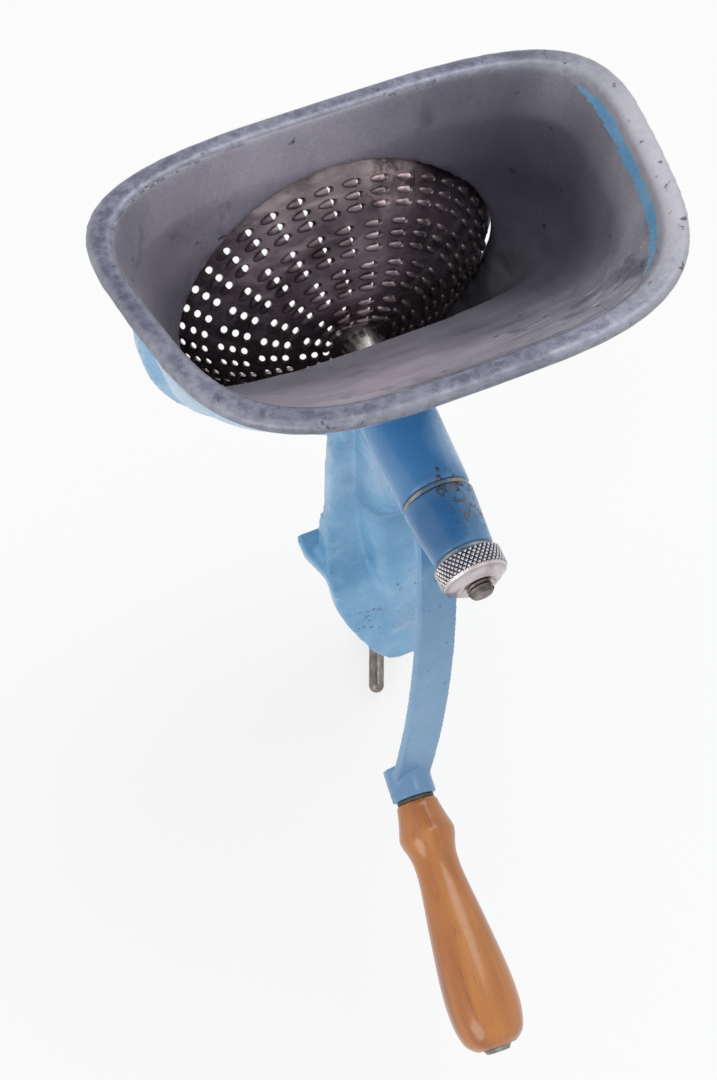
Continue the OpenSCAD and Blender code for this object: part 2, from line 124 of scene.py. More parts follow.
class Finish:
    """A material with a Principled shader, and short ways to add nodes to it."""

    def __init__(self, name, metallic=0.0, roughness=0.5):
        self.material = bpy.data.materials.new(name)
        self.material.use_nodes = True
        self.tree = self.material.node_tree
        self.shader = self.tree.nodes["Principled BSDF"]
        self.shader.inputs["Metallic"].default_value = metallic
        self.shader.inputs["Roughness"].default_value = roughness
        self.coords = self.tree.nodes.new("ShaderNodeTexCoord").outputs["Object"]

    def node(self, kind, inputs=None, **settings):
        made = self.tree.nodes.new(kind)
        for key, value in settings.items():
            setattr(made, key, value)
        for key, value in (inputs or {}).items():
            if isinstance(value, bpy.types.NodeSocket):
                self.tree.links.new(value, made.inputs[key])
            else:
                made.inputs[key].default_value = value
        return made

    def noise(self, scale, detail=4, rough=0.55, vector=None):
        made = self.node("ShaderNodeTexNoise", {"Vector": vector or self.coords, "Scale": scale,
                                                "Detail": detail, "Roughness": rough})
        return made.outputs["Fac"]

    def stretched(self, scale, turned=(0, 0, 0), moved=(0, 0, 0)):
        made = self.node("ShaderNodeMapping", {"Vector": self.coords, "Scale": scale,
                                               "Rotation": turned, "Location": moved})
        return made.outputs["Vector"]

    def ramp(self, value, *stops):
        made = self.node("ShaderNodeValToRGB", {"Fac": value})
        elements = made.color_ramp.elements
        while len(elements) < len(stops):
            elements.new(0.5)
        for element, (place, colour) in zip(elements, stops):
            element.position = place
            element.color = (*colour, 1) if isinstance(colour, tuple) else (colour,) * 3 + (1,)
        return made.outputs["Color"]

    def mix(self, share, first, second, how="MIX"):
        made = self.node("ShaderNodeMix", data_type="RGBA", blend_type=how)
        for index, value in ((0, share), (6, first), (7, second)):
            if isinstance(value, bpy.types.NodeSocket):
                self.tree.links.new(value, made.inputs[index])
            else:
                made.inputs[index].default_value = (*value, 1) if isinstance(value, tuple) else value
        return made.outputs[2]

    def maths(self, how, first, second):
        made = self.node("ShaderNodeMath", {0: first, 1: second}, operation=how)
        return made.outputs["Value"]

    def edges(self, low, high):
        """White where the surface turns outwards, as along a corner."""
        point = self.node("ShaderNodeNewGeometry").outputs["Pointiness"]
        return self.ramp(point, (low, 0.0), (high, 1.0))

    def near(self, point, reach):
        """White round a point of the mill, in millimetres, and black from reach on."""
        away = self.node("ShaderNodeVectorMath", {0: self.coords, 1: [c * MM for c in point]},
                         operation="DISTANCE").outputs["Value"]
        return self.ramp(self.maths("DIVIDE", away, reach * MM), (0.35, 1.0), (1.0, 0.0))

    def set(self, socket, value):
        self.tree.links.new(value, self.shader.inputs[socket])

    def bump(self, height, strength, distance=0.0004):
        made = self.node("ShaderNodeBump", {"Height": height, "Strength": strength, "Distance": distance})
        self.set("Normal", made.outputs["Normal"])


# %% [markdown]
# Worn blue paint
# The casting and the crank are brushed with a glossy sky-blue paint that has gone patchy. It is chipped
# down to dark iron in specks and along corners. Two noises of different size drive it: the large one
# says where the paint is tired, the small one breaks it into chips. Hands and washers wear the paint in
# a few places more than elsewhere, so a list of worn places is added to the large noise.
# A second list paints shade and light into the colour: shade on the tube's top and beside the web, a
# highlight on the tube's side, and darker or greyer paint on the hub, arm and eye.

# %% Worn blue paint
WORN = [  # place in millimetres, reach, how much
    ((9, -49, 125), 15, 0.13), ((3, -37, 128), 10, 0.16), ((-28, -6, 14), 16, 0.06),
    ((-16, -22, -30), 18, 0.07), ((-44, -104, 14), 14, 0.08), ((-20, -70, 60), 30, 0.03),
]
PAINTED_LIGHT_AND_TONE = [  # place in millimetres, reach, how much, colour painted there
    # painted shade on the tube's top under the hopper rim, then a painted highlight on the tube's side
    ((2, -16, 134), 40, 0.85, (0.045, 0.2, 0.44)), ((14, -22, 122), 15, 0.75, (0.4, 0.6, 0.8)),
    ((-6, -50, 124), 22, 0.95, (0.018, 0.12, 0.3)), ((13, -46, 120), 12, 0.6, (0.22, 0.34, 0.46)),
    # darker paint at the crank's eye, then painted shade in the valley between the leg and the web
    ((-34, -104, 16), 20, 0.7, (0.1, 0.22, 0.4)), ((12, 4, 60), 34, 0.9, (0.045, 0.18, 0.36)),
    ((-20, -76, 56), 62, 0.6, (0.24, 0.36, 0.53)),
]
paint = Finish("worn_blue_paint_and_painted_light", roughness=0.3)
paint_tone_and_painted_light = paint.ramp(paint.noise(30, 3), (0.3, (0.1, 0.29, 0.5)), (0.5, (0.15, 0.37, 0.6)),
                    (0.72, (0.23, 0.46, 0.68)))
chalk = paint.ramp(paint.noise(150, 5, 0.6), (0.5, 0.0), (0.78, 0.35))
paint_tone_and_painted_light = paint.mix(chalk, paint_tone_and_painted_light, (0.38, 0.56, 0.74))
# mixes in the painted shade, the painted highlight and the local paint tones of the list above
for place, reach, share, colour in PAINTED_LIGHT_AND_TONE:
    paint_tone_and_painted_light = paint.mix(paint.maths("MULTIPLY", paint.near(place, reach), share), paint_tone_and_painted_light, colour)
tired = paint.ramp(paint.noise(24, 2), (0.46, 0.0), (0.7, 0.1))
for place, reach, amount in WORN:
    tired = paint.maths("ADD", tired, paint.maths("MULTIPLY", paint.near(place, reach), amount))
tired = paint.maths("ADD", paint.noise(420, 6, 0.68), tired)
tired = paint.maths("ADD", tired, paint.maths("MULTIPLY", paint.edges(0.54, 0.64), 0.08))
chips = paint.ramp(tired, (0.7, 0.0), (0.72, 1.0))
under = paint.ramp(paint.noise(260, 3), (0.4, (0.035, 0.035, 0.05)), (0.6, (0.16, 0.15, 0.18)))
paint.set("Base Color", paint.mix(chips, paint_tone_and_painted_light, under))
paint.set("Roughness", paint.ramp(tired, (0.5, 0.26), (0.72, 0.62)))
relief = paint.maths("SUBTRACT", paint.noise(500, 3), paint.maths("MULTIPLY", chips, 0.9))
paint.bump(relief, 0.3, 0.0003)
paint.shader.inputs["Coat Weight"].default_value = 0.3
paint.shader.inputs["Coat Roughness"].default_value = 0.15
print("paint nodes:", len(paint.tree.nodes))

# %% [markdown]
# Bare cast aluminium
# The inside of the hopper was never painted. Years of handling left it a mottled grey with darker,
# stretched stains. Painted shade darkens the right back wall and painted light brightens the front wall
# towards the left. It is a metal, so its colour comes from what it reflects: the roughness is as uneven as
# the colour.

# %% Bare cast aluminium
bare = Finish("bare_cast_aluminium", metallic=0.45)
mottle_and_painted_light = bare.ramp(bare.noise(26, 4), (0.3, (0.28, 0.275, 0.32)), (0.7, (0.5, 0.48, 0.55)))
grain = bare.ramp(bare.noise(900, 3, 0.7), (0.35, (0.84, 0.84, 0.86)), (0.65, (1.0, 1.0, 1.0)))
mottle_and_painted_light = bare.mix(1.0, mottle_and_painted_light, grain, "MULTIPLY")
strokes = bare.noise(1, 3, 0.7, bare.stretched((14, 330, 330), (0, 0.12, 0)))
worn = bare.near((30, -38, 205), 62)
bright = bare.maths("MULTIPLY", bare.ramp(strokes, (0.58, 0.0), (0.66, 0.8)), worn)
gouge = bare.maths("MULTIPLY", bare.ramp(strokes, (0.34, 0.85), (0.42, 0.0)), worn)
mottle_and_painted_light = bare.mix(bright, mottle_and_painted_light, (0.78, 0.74, 0.8))
mottle_and_painted_light = bare.mix(gouge, mottle_and_painted_light, (0.12, 0.11, 0.12))
# Painted shade on the right back wall, low in the hopper
mottle_and_painted_light = bare.mix(bare.maths("MULTIPLY", bare.near((62, 42, 172), 62), 0.75), mottle_and_painted_light, (0.11, 0.105, 0.13))
# Painted light on the front wall towards the left
mottle_and_painted_light = bare.mix(bare.maths("MULTIPLY", bare.near((-25, -28, 185), 60), 0.6), mottle_and_painted_light, (0.62, 0.55, 0.63))
stain = bare.noise(1, 5, 0.62, bare.stretched((55, 28, 34), (0.3, 0.2, 0.5)))
stain = bare.ramp(stain, (0.57, 0.0), (0.68, 0.65))
mottle_and_painted_light = bare.mix(stain, mottle_and_painted_light, (0.13, 0.125, 0.15))
spots = bare.ramp(bare.noise(160, 3, 0.5), (0.7, 0.0), (0.74, 0.8))
bare.set("Base Color", bare.mix(spots, mottle_and_painted_light, (0.07, 0.07, 0.085)))
bare.set("Roughness", bare.ramp(bare.noise(60, 5), (0.3, 0.36), (0.7, 0.58)))
relief = bare.maths("ADD", bare.noise(500, 4), bare.noise(90, 2))
bare.bump(bare.maths("SUBTRACT", relief, gouge), 0.25, 0.0003)

# %% [markdown]
# Ground rim
# The lip of the hopper was ground flat and has dulled to a blue grey. It is lighter along its edges, partly
# where hands rub them and partly as a painted highlight, and a painted pool of light lies on its right
# side. A few dark pits and knocks mark it.

# %% Ground rim
rim = Finish("ground_rim", metallic=0.4)
rim_tone_and_painted_light = rim.ramp(rim.noise(24, 4, 0.6), (0.32, (0.11, 0.12, 0.18)), (0.7, (0.28, 0.28, 0.36)))
mist = rim.ramp(rim.noise(300, 5, 0.7), (0.38, (0.5, 0.51, 0.56)), (0.6, (1.0, 1.0, 1.0)))
rim_tone_and_painted_light = rim.mix(1.0, rim_tone_and_painted_light, mist, "MULTIPLY")
# Lighter along the convex edges: rubbed metal, and a painted highlight as well
rim_tone_and_painted_light = rim.mix(rim.edges(0.51, 0.6), rim_tone_and_painted_light, (0.56, 0.58, 0.63))
pits = rim.ramp(rim.noise(260, 4, 0.6), (0.64, 0.0), (0.69, 0.85))
# Painted light on the right side of the rim
painted_light_right = rim.maths("MULTIPLY", rim.near((88, 0, 208), 75), 0.6)
rim_tone_and_painted_light = rim.mix(painted_light_right, rim_tone_and_painted_light, (0.6, 0.59, 0.64))
rim.set("Base Color", rim.mix(pits, rim_tone_and_painted_light, (0.06, 0.065, 0.085)))
rim.set("Roughness", rim.ramp(rim.noise(200, 4), (0.3, 0.38), (0.7, 0.56)))
rim.bump(rim.maths("SUBTRACT", rim.noise(420, 4, 0.6), pits), 0.2, 0.0002)

# %% [markdown]
# Dark punched sheet
# The drum is a pressed steel sheet, blackened and brown with oil from years of nuts. Streaks follow the
# food round the dome, and a small painted reflection sits near the top of the dome.

# %% Dark punched sheet
sheet = Finish("dark_punched_sheet", metallic=0.9)
tone = sheet.ramp(sheet.noise(60, 5, 0.62), (0.32, (0.07, 0.055, 0.06)), (0.68, (0.26, 0.21, 0.225)))
rub = sheet.ramp(sheet.noise(1, 4, 0.6, sheet.stretched((60, 200, 200))), (0.48, 0.0), (0.68, 0.7))
tone = sheet.mix(rub, tone, (0.4, 0.34, 0.35))
# A painted reflection near the top of the dome
painted_reflection = sheet.maths("MULTIPLY", sheet.near((22, 58, 172), 14), sheet.ramp(
    sheet.noise(240, 4, 0.6), (0.42, 0.0), (0.6, 0.8)))
sheet.set("Base Color", sheet.mix(painted_reflection, tone, (0.6, 0.46, 0.46)))
sheet.set("Roughness", sheet.ramp(sheet.noise(130, 4), (0.3, 0.28), (0.7, 0.5)))
sheet.bump(sheet.noise(400, 4), 0.2, 0.0002)

# %% [markdown]
# Turned metals
# Shaft, washers and clamp screw are plain tarnished steel, the nut is nickel plated and the bushes are
# bronze. One recipe serves them all: a base colour, a darker tarnish in patches and a fine turned grain.
# Dirt sits in the knurl of the nut: the nut's mesh carries how deep each point lies in a groove.

# %% Turned metals


def turned_metal(name, bright, rim_tone_and_painted_light, smoothness, tarnish=0.55):
    made = Finish(name, metallic=1.0)
    patchy = made.ramp(made.noise(110, 5, 0.65), (tarnish - 0.12, 0.0), (tarnish + 0.15, 1.0))
    made.tone = made.mix(patchy, bright, rim_tone_and_painted_light)
    made.set("Base Color", made.tone)
    made.set("Roughness", made.ramp(made.noise(260, 4), (0.3, smoothness), (0.7, smoothness + 0.18)))
    made.bump(made.noise(1, 3, 0.6, made.stretched((150, 2600, 150))), 0.12, 0.0001)
    return made


steel = turned_metal("tarnished_steel", (0.4, 0.38, 0.36), (0.16, 0.135, 0.115), 0.3)
bright_steel = turned_metal("polished_steel", (0.62, 0.6, 0.58), (0.4, 0.37, 0.35), 0.16, 0.65)
worn_steel = turned_metal("worn_steel", (0.3, 0.27, 0.25), (0.13, 0.1, 0.085), 0.28, 0.5)
dark_steel = turned_metal("dark_steel", (0.12, 0.11, 0.1), (0.05, 0.045, 0.04), 0.42)
nickel = turned_metal("nickel_plate", (0.62, 0.58, 0.6), (0.38, 0.32, 0.33), 0.2, 0.58)
bronze = turned_metal("bronze", (0.52, 0.33, 0.15), (0.25, 0.15, 0.07), 0.32)
oiled = turned_metal("oiled_thread", (0.3, 0.27, 0.25), (0.08, 0.065, 0.06), 0.3, 0.48)
groove = nickel.node("ShaderNodeAttribute", attribute_name="groove").outputs["Fac"]
dirt = nickel.ramp(groove, (0.2, 0.0), (0.6, 0.95))
nickel.set("Base Color", nickel.mix(dirt, nickel.tone, (0.045, 0.035, 0.035)))

# %% [markdown]
# Varnished wood
# The grip is turned from an orange-brown hardwood under glossy varnish. The grain runs along it, so the
# pattern is first turned into the grip's own direction and then stretched along it.

# %% Varnished wood
wood = Finish("varnished_wood", roughness=0.32)
back = grip_place.to_3x3().inverted().to_euler()
along = wood.stretched((1, 1, 1), tuple(back))
lengthwise = wood.node("ShaderNodeMapping", {"Vector": along, "Scale": (1.0, 1.0, 0.075)}).outputs["Vector"]
figure = wood.noise(130, 4, 0.55, lengthwise)
tone = wood.ramp(figure, (0.3, (0.27, 0.085, 0.012)), (0.5, (0.43, 0.135, 0.018)), (0.72, (0.54, 0.2, 0.035)))
lines = wood.ramp(wood.noise(620, 3, 0.6, lengthwise), (0.6, 0.0), (0.74, 0.45))
tone = wood.mix(lines, tone, (0.13, 0.04, 0.012))
grime = wood.ramp(wood.noise(60, 5, 0.7), (0.62, 0.0), (0.78, 0.5))
wood.set("Base Color", wood.mix(grime, tone, (0.1, 0.04, 0.015)))
wood.bump(wood.noise(500, 3, 0.6, lengthwise), 0.15, 0.0002)
wood.shader.inputs["Coat Weight"].default_value = 0.6
wood.shader.inputs["Coat Roughness"].default_value = 0.14

# %% [markdown]
# Mesh helpers
# A finished piece keeps its object at the origin, with its place in its mesh, so that patterns on Object
# coordinates stay put. settle() turns a bmesh into such a piece and hands it to its body.

# %% Mesh helpers


def settle(name, bm, finish, body, replaced=(), place=None, sharp=35):
    if place is not None:
        bmesh.ops.transform(bm, matrix=place, verts=bm.verts)
    mesh = bpy.data.meshes.new(name)
    bm.to_mesh(mesh)
    bm.free()
    return dress(name, mesh, finish, body, replaced, sharp)


def dress(name, mesh, finish, body, replaced=(), sharp=35):
    piece = bpy.data.objects.new(name, mesh)
    bpy.context.collection.objects.link(piece)
    mesh.shade_smooth()
    mesh.set_sharp_from_angle(angle=math.radians(sharp))
    if not mesh.materials:
        mesh.materials.append(finish.material)
    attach(piece, body)
    if replaced:
        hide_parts(*replaced)
    print(name, len(mesh.polygons), "faces")
    return piece


def turned(outline, steps=72):
    """A bmesh turned round +Z from (radius, height) points in millimetres."""
    bm = bmesh.new()
    verts = [bm.verts.new((radius * MM, 0, height * MM)) for radius, height in outline]
    edges = [bm.edges.new(pair) for pair in zip(verts, verts[1:])]
    bmesh.ops.spin(bm, geom=verts + edges, cent=(0, 0, 0), axis=(0, 0, 1), dvec=(0, 0, 0),
                   angle=2 * math.pi, steps=steps, use_merge=True)
    bmesh.ops.remove_doubles(bm, verts=bm.verts, dist=0.00001)
    bmesh.ops.recalc_face_normals(bm, faces=bm.faces)
    return bm


def through(points, between=5):
    """More points on a smooth curve through the given ones."""
    dense = []
    for i in range(len(points) - 1):
        before, after = points[max(i - 1, 0)], points[min(i + 2, len(points) - 1)]
        for step in range(between):
            t = step / between
            dense.append(tuple(
                0.5 * (2 * p1 + (p2 - p0) * t + (2 * p0 - 5 * p1 + 4 * p2 - p3) * t * t
                       + (3 * p1 - p0 - 3 * p2 + p3) * t ** 3)
                for p0, p1, p2, p3 in zip(before, points[i], points[i + 1], after)))
    return dense + [points[-1]]


def add_thread(bm, root, crest, start, length, pitch, around=20):
    """Winds a V-shaped ridge onto a turned piece, as a thread."""
    turns = length / pitch - 1
    steps = round(turns * around)
    corners = ((root - 0.3, start), (root, start + 0.02), (crest, start + pitch * 0.5),
               (root, start + pitch * 0.98), (root - 0.3, start + pitch))
    verts = [bm.verts.new((radius * MM, 0, height * MM)) for radius, height in corners]
    edges = [bm.edges.new((verts[i], verts[(i + 1) % 5])) for i in range(5)]
    before = set(bm.faces)
    bmesh.ops.spin(bm, geom=verts + edges, cent=(0, 0, 0), axis=(0, 0, 1),
                   dvec=(0, 0, pitch * MM / around), angle=2 * math.pi * steps / around, steps=steps)
    made = [face for face in bm.faces if face not in before]
    open_edges = {edge for face in made for edge in face.edges if edge.is_boundary}
    bmesh.ops.holes_fill(bm, edges=list(open_edges), sides=8)
    made = [face for face in bm.faces if face not in before]
    bmesh.ops.recalc_face_normals(bm, faces=made)


def cast_skin(node, voxel, passes, slope=0, soften=0):
    """A copy of a CAD casting with its corners and joints rounded, as a mould leaves them.
    Cells leave steps on a slanted face, so slope turns such a lip level first, and back after.
    They also leave notches along a sharp corner, so soften bevels the corners before."""
    mesh = nodes[node].data.copy()
    bm = bmesh.new()
    bm.from_mesh(mesh)
    bmesh.ops.remove_doubles(bm, verts=bm.verts, dist=0.000001)
    bmesh.ops.transform(bm, matrix=turn(slope, "X"), verts=bm.verts)
    if soften:
        bmesh.ops.dissolve_limit(bm, angle_limit=math.radians(1), verts=bm.verts, edges=bm.edges)
        corners = [edge for edge in bm.edges
                   if edge.is_manifold and edge.is_convex and edge.calc_face_angle() > math.radians(35)]
        bmesh.ops.bevel(bm, geom=corners, offset=soften * MM, affect="EDGES", segments=2, profile=0.5,
                        material=-1, clamp_overlap=True)
    bm.to_mesh(mesh)
    bm.free()
    rough = bpy.data.objects.new("rough_casting", mesh)
    bpy.context.collection.objects.link(rough)
    remesh = rough.modifiers.new("remesh", "REMESH")
    remesh.mode = "VOXEL"
    remesh.voxel_size = voxel * MM
    smooth = rough.modifiers.new("smooth", "SMOOTH")
    smooth.factor = 0.5
    smooth.iterations = passes
    graph = bpy.context.evaluated_depsgraph_get()
    skin = bpy.data.meshes.new_from_object(rough.evaluated_get(graph))
    bpy.data.objects.remove(rough)
    skin.materials.clear()
    skin.transform(turn(-slope, "X"))
    return skin


# %% [markdown]
# Hopper
# The hopper is a loft whose walls run from a rounded trapezium at the mouth to a round chamber for the
# drum. A casting has no sharp corner, so a copy of the solid is remeshed in fine cells and smoothed.
# The paint stops at the lip: faces inside the loft or the chamber are bare, those on top are ground.

# %% Hopper
WALL = 4
LIP = 8
LEVELS = [  # height, front, back, left, right, tilt, squareness, taper
    (100, -49, 67, -81, 81, 10, 3.5, 0.26),
    (78, -33, 62, -76, 78, 8, 3.4, 0.2),
    (55, -13, 60, -73, 77, 5, 3.4, 0.14),
    (32, 6, 60, -71, 76, 2, 3.4, 0.08),
    (15, 22.5, 60, -69, 75, 0, 3.3, 0),
    (-8, 33, 60, -64, 68, 0, 3, 0),
    (-30, 44, 60, -50, 52, 0, 2.6, 0),
]


def height_on(level, y):
    middle = (level[1] + level[2]) / 2
    return level[0] - (y - middle) * math.tan(math.radians(level[5]))


def inside_hopper(x, y, z):
    above = z - AXLE_H
    for upper, lower in zip(LEVELS, LEVELS[1:]):
        top, foot = height_on(upper, y), height_on(lower, y)
        if foot <= above <= top + 1:
            t = min(1, (above - foot) / (top - foot))
            front, back, left, right, _, power, taper = [
                low + (high - low) * t for low, high in zip(lower[1:], upper[1:])]
            half_w = (right - left) / 2 + WALL / 2
            half_d = (back - front) / 2 + WALL / 2
            deep = (y - (front + back) / 2) / half_d
            across = (x - (left + right) / 2) / (half_w * (1 + taper * deep / 2))
            return abs(across) ** power + abs(deep) ** power < 1
    return False


def inside_chamber(x, y, z):
    away = math.hypot(x, z - AXLE_H)
    wall = 36 + (y - 22) * 1.4 if y < 42 else 64 + (y - 42) * 0.17 if y < 60 else 67 + (y - 60) * 0.8
    return y > 20 and away < wall and not (y > 67.3 and away > 71)


hopper_mesh = cast_skin("hopper", 1.3, 8, 10)
for finish in (paint, bare, rim):
    hopper_mesh.materials.append(finish.material)
for face in hopper_mesh.polygons:
    x, y, z = (c / MM for c in face.center)
    top = AXLE_H + height_on(LEVELS[0], y)
    if z > top - 5.2 and z > AXLE_H + 70:
        face.material_index = 2 if face.normal.z > 0.55 or z > top - 4.4 else 0
        if inside_hopper(x, y, min(z, top)) and face.normal.z < 0.55:
            face.material_index = 1
    elif inside_hopper(x, y, z) or inside_chamber(x, y, z):
        face.material_index = 1
dress("hopper_casting", hopper_mesh, paint, "body", ["hopper"], 60)

# %% [markdown]
# Frame, leg and clamp
# One casting carries the axle, stands on the table and reaches round its edge. The remeshing rounds the
# web into the leg. It also blurs the bores, so vertices near a bore are pushed back to it. The leg and
# the shield are smoothed further, because no crease shows where the web runs into them.

# %% Frame
SCREW_Y = 7.5
frame_mesh = cast_skin("frame", 1.0, 5, soften=1.2)
for vertex in frame_mesh.vertices:
    x, y, z = (c / MM for c in vertex.co)
    away = math.hypot(x, y - SCREW_Y)
    if z < -45 and 0 < away < 5.7:
        vertex.co.x *= 5.2 / away
        vertex.co.y = (SCREW_Y + (y - SCREW_Y) * 5.2 / away) * MM
    away = math.hypot(x, z - AXLE_H)
    if 0 < away < 10.2 and y < 19:
        vertex.co.x *= 9.55 / away
        vertex.co.z = (AXLE_H + (z - AXLE_H) * 9.55 / away) * MM
soft = bmesh.new()
soft.from_mesh(frame_mesh)
flowing = []
for vertex in soft.verts:
    x, y, z = (c / MM for c in vertex.co)
    on_seat = -3 < z < 10 and y > -6
    if -48 < z < AXLE_H - 14 and (abs(x) < 26 or z < -5) and not on_seat:
        flowing.append(vertex)
for _ in range(20):
    bmesh.ops.smooth_vert(soft, verts=flowing, factor=0.5, use_axis_x=True, use_axis_y=True, use_axis_z=True)
soft.to_mesh(frame_mesh)
soft.free()
dress("frame_casting", frame_mesh, paint, "body", ["frame"], 60)

# %% [markdown]
# Crank
# Hub, flat arm and eye are one forging. It gets finer cells than the castings, because its edges are
# crisper, and the same paint.

# %% Crank
crank_mesh = cast_skin("crank", 0.6, 8, soften=0.6)
dress("crank_forging", crank_mesh, paint, "drive", ["crank"], 60)

# %% [markdown]
# Grip
# The grip swells towards the palm and has a bead near the collar, so that the hand finds it. The outline
# below is read off from the collar to the butt and made smooth before it is turned.

# %% Grip
GRIP_OUTLINE = [  # share of the largest radius, share of the length
    (0.56, 0.0), (0.6, 0.012), (0.62, 0.03), (0.7, 0.08), (0.78, 0.12), (0.8, 0.14), (0.77, 0.165),
    (0.69, 0.2), (0.635, 0.245), (0.64, 0.31), (0.7, 0.39), (0.8, 0.5), (0.93, 0.66), (0.985, 0.75),
    (1.0, 0.82), (0.97, 0.89), (0.87, 0.95), (0.74, 0.98), (0.56, 1.0),
]
curve = through([(r * GRIP_RADIUS, t * GRIP_LENGTH) for r, t in GRIP_OUTLINE])
curve = [(3.05, 0.0)] + curve + [(3.05, GRIP_LENGTH), (3.05, 0.0)]
settle("turned_grip", turned(curve, 96), wood, "handle", ["grip"],
       grip_place @ shift(0, 0, GRIP_START), 50)

# %% [markdown]
# Knurled nut
# The nut that holds the crank has a band of diamond knurl to grip with the fingers. Two families of
# slanted grooves cross on a finely divided band. How far a point lies from the nearest groove sets how
# deep it is pushed in, and the same number is kept on the mesh for the dirt. The nose carries some too.

# %% Knurled nut
NUT_Y = -62.6
NUT_R = 12.5
KNURL = 8
NOSE = 3
DIAMONDS = 40
DIAMOND_H = 2.2
ROWS = 26


def groove_depth(along):
    return max(0, 1 - abs(along - round(along)) / 0.24)


band = [(NUT_R, 0.7 + (KNURL - 1.4) * row / ROWS) for row in range(ROWS + 1)]
nose = [(NUT_R - 0.5, KNURL - 0.2), (NUT_R - 1.0, KNURL + 0.6), (8.3, KNURL + NOSE - 0.3),
        (7.7, KNURL + NOSE), (7.0, KNURL + NOSE), (6.6, KNURL + NOSE - 0.3), (4.9, KNURL + NOSE - 1.8),
        (4.9, 0.0)]
nut = turned([(4.9, 0.0), (NUT_R - 1.1, 0.0), (NUT_R - 0.5, 0.3)] + band + nose, DIAMONDS * 8)
depth = nut.verts.layers.float.new("groove")
for vertex in nut.verts:
    radius = math.hypot(vertex.co.x, vertex.co.y) / MM
    height = vertex.co.z / MM
    if abs(radius - NUT_R) < 0.01:
        around = math.atan2(vertex.co.y, vertex.co.x) / (2 * math.pi) * DIAMONDS
        cut = max(groove_depth(around + height / DIAMOND_H), groove_depth(around - height / DIAMOND_H))
        vertex[depth] = cut
        vertex.co.x *= 1 - cut * 0.55 / NUT_R
        vertex.co.y *= 1 - cut * 0.55 / NUT_R
    elif KNURL < height < KNURL + 1:
        vertex[depth] = 0.35
settle("knurled_nut_turned", nut, nickel, "drive", ["knurled_nut"], along_axle(NUT_Y), 40)

# %% [markdown]
# Shaft
# The shaft is turned from one bar: a thread and collar at the drum, the bearing length, a square that
# drives the crank, and the long thread on which the nut runs.

# %% Shaft
low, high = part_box("shaft")
REAR = high[1] / MM
FREE = low[1] / MM
HUB_FRONT = 23.5
CRANK_Y = -38.1
CRANK_END = -61.1
root = 4.3
shaft_line = [(0, 0), (root - 0.6, 0), (root, 0.8), (root, REAR - HUB_FRONT), (6.6, REAR - HUB_FRONT),
              (7, REAR - HUB_FRONT + 0.4), (7, REAR - CRANK_Y), (root, REAR - CRANK_Y),
              (root, REAR - FREE - 0.8), (root - 0.6, REAR - FREE), (0, REAR - FREE)]
shaft = turned(shaft_line, 48)
add_thread(shaft, root, 4.8, 0.3, 13, 1.5)
add_thread(shaft, root, 4.8, REAR - CRANK_END - 1, FREE * -1 + CRANK_END + 0.6, 1.5)
square = bmesh.ops.create_cube(shaft, size=1)["verts"]
bmesh.ops.scale(shaft, vec=Vector((9.8, 9.8, 22)) * MM, verts=square)
bmesh.ops.translate(shaft, vec=Vector((0, 0, REAR - CRANK_Y + 11)) * MM, verts=square)
settle("threaded_shaft", shaft, oiled, "drive", ["shaft"], along_axle(REAR), 30)

# %% [markdown]
# Teeth on the drum
# Each hole was punched at a slant, which lifts a small hood beside it. The hoods do the grating: their
# mouths face the way the drum turns. One hood is part of an ellipsoid, cut open at its mouth and given a
# wall, then copied to every hole with the pattern that the holes follow.

# %% Teeth on the drum
DOME_R = 87
DOME_CENTRE = 120
RING_GROUPS = (37, 29, 21, 14)
RING_TURNS = (0.5, 0.15, 0.6, 0.1)
FIRST_RING = 45
RING_PITCH = 15.3
HOLE_PITCH = 4.4


def dome_step(length):
    return math.degrees(length / DOME_R)


hood = bmesh.new()
bmesh.ops.create_uvsphere(hood, u_segments=12, v_segments=8, radius=1)
bmesh.ops.transform(hood, matrix=turn(90, "X"), verts=hood.verts)
for place, facing in (((0, 0, 0), (0, 1, 0)), ((0, 0, -0.2), (0, 0, 1))):
    bmesh.ops.bisect_plane(hood, geom=hood.verts[:] + hood.edges[:] + hood.faces[:], plane_co=place,
                           plane_no=facing, clear_inner=True)
bmesh.ops.scale(hood, vec=Vector((1.65, 4.8, 1.8)) * MM, verts=hood.verts)
bmesh.ops.recalc_face_normals(hood, faces=hood.faces)
bmesh.ops.solidify(hood, geom=hood.faces[:], thickness=0.35 * MM)
bmesh.ops.recalc_face_normals(hood, faces=hood.faces)
print("one hood:", len(hood.faces), "faces, tall", round(max(v.co.z for v in hood.verts) / MM, 2))
template = bpy.data.meshes.new("hood")
hood.to_mesh(template)
hood.free()
teeth = bmesh.new()
dome_place = shift(0, DOME_CENTRE, AXLE_H) @ turn(90, "X")
for ring, groups in enumerate(RING_GROUPS):
    for group in range(groups):
        for hole in range(3):
            lean = FIRST_RING - dome_step(ring * RING_PITCH + hole * HOLE_PITCH)
            spun = (group + RING_TURNS[ring]) * 360 / groups
            known = len(teeth.verts)
            teeth.from_mesh(template)
            teeth.verts.ensure_lookup_table()
            bmesh.ops.transform(teeth, verts=teeth.verts[known:],
                                matrix=dome_place @ turn(spun, "Z") @ turn(lean, "Y") @ shift(0, 0, DOME_R))
settle("drum_teeth", teeth, sheet, "drive", sharp=40)

# %% [markdown]
# Clamp screw
# A long screw with a drilled head, turned by the tommy bar. The hole for the bar is cut with a Boolean,
# because the bar slides in it and must not touch.

